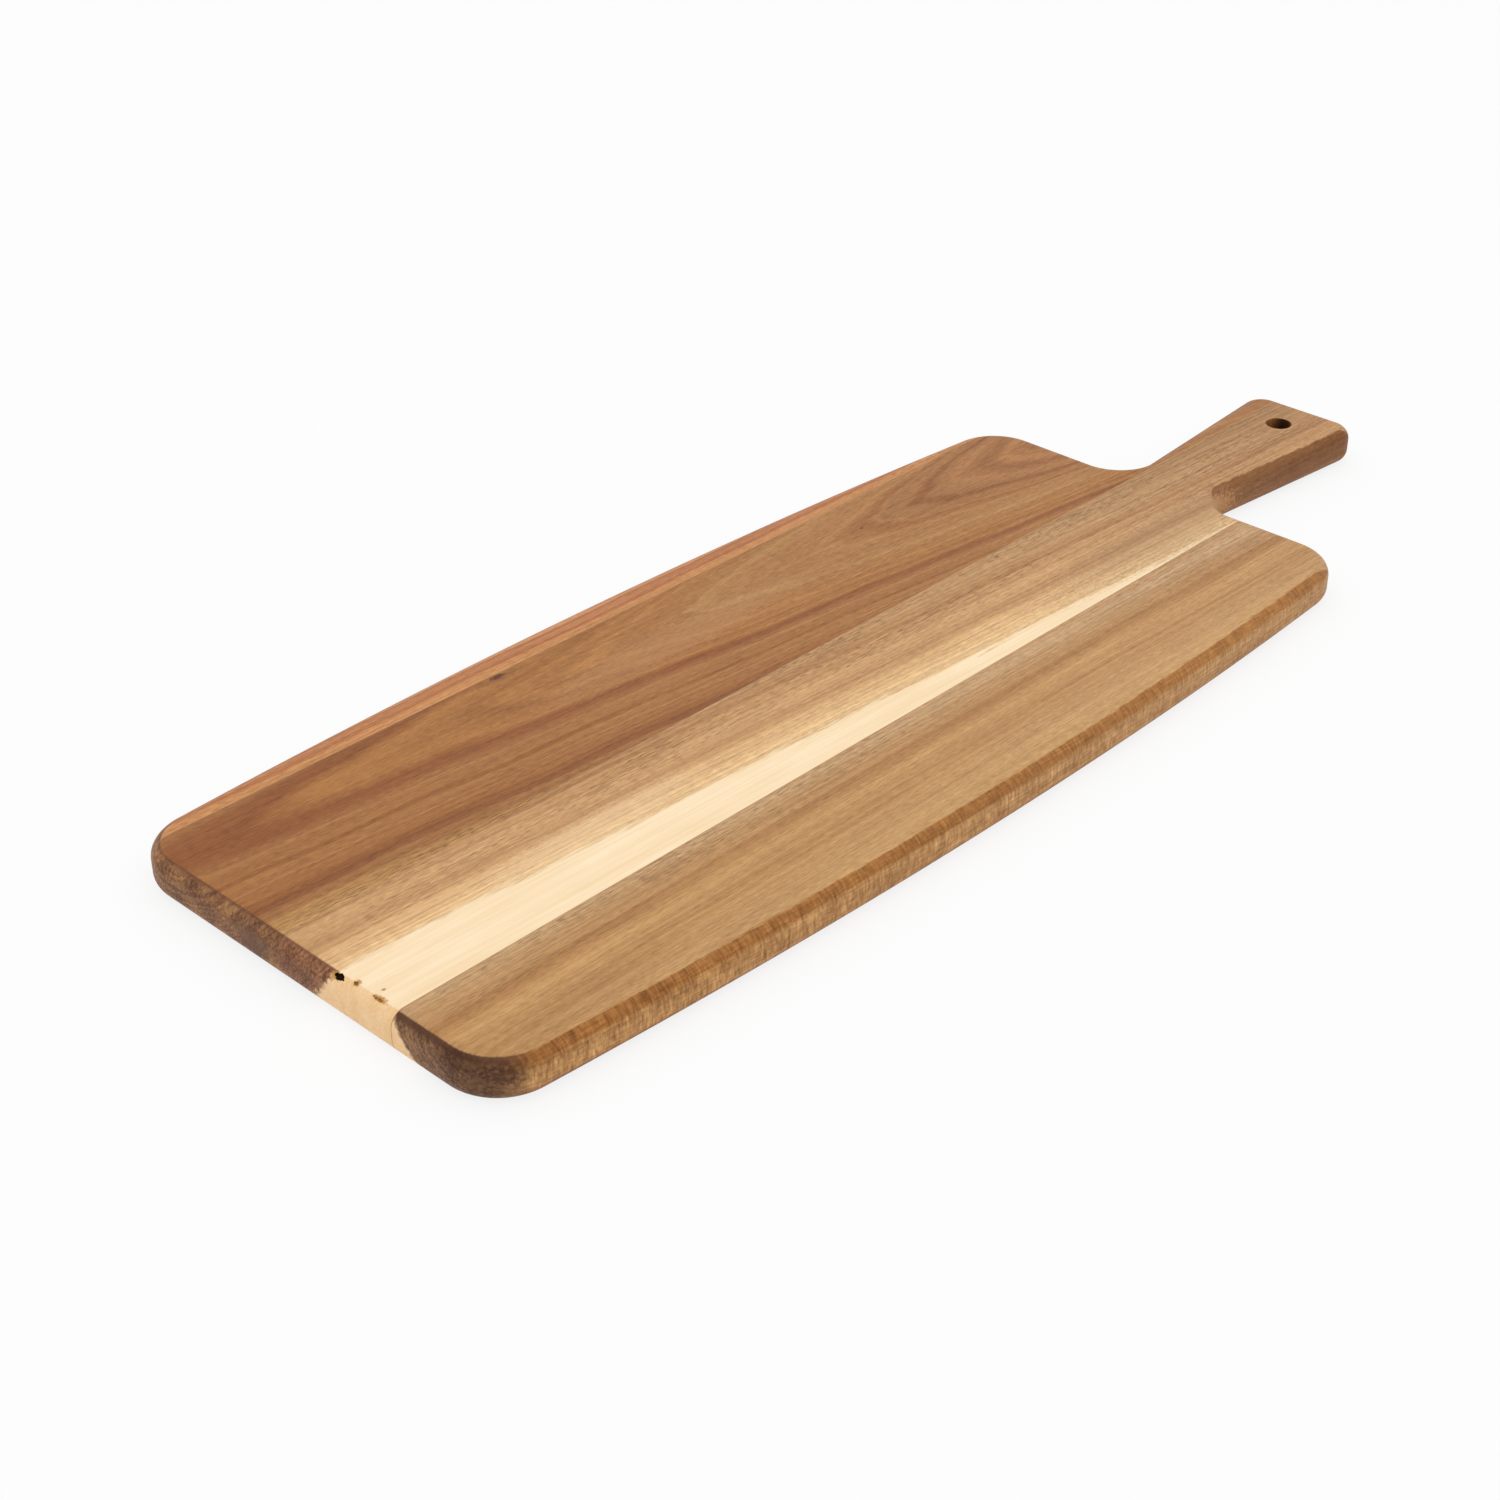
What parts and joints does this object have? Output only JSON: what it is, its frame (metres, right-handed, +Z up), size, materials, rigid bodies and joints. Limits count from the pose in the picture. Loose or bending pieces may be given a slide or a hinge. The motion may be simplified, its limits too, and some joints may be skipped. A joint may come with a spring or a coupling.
{
  "type": "paddle serving board",
  "caption": "Flat wooden paddle board for serving charcuterie, edge-glued from long staves, with bowed sides, rounded edges and a flared handle with a hanging hole.",
  "frame": {"origin": "on the underside, at the middle of the overall length and width", "axes": "+X along the board from the square end to the handle tip, +Y across it to the far edge stave, +Z up"},
  "size_m": [0.5354, 0.19, 0.015],
  "materials": {
    "acacia_red_brown": "oiled satin",
    "acacia_dark_brown": "oiled satin",
    "acacia_with_sapwood": "oiled satin",
    "acacia_golden_brown": "oiled satin",
    "wood_glue": "cured wood glue, sanded flush"
  },
  "bodies": {
    "root": {"far_edge_stave": "acacia_red_brown", "wide_stave": "acacia_dark_brown", "handle_stave": "acacia_with_sapwood", "near_edge_stave": "acacia_golden_brown", "far_glue_line": "wood_glue", "middle_glue_line": "wood_glue", "near_glue_line": "wood_glue"}
  },
  "joints": []
}
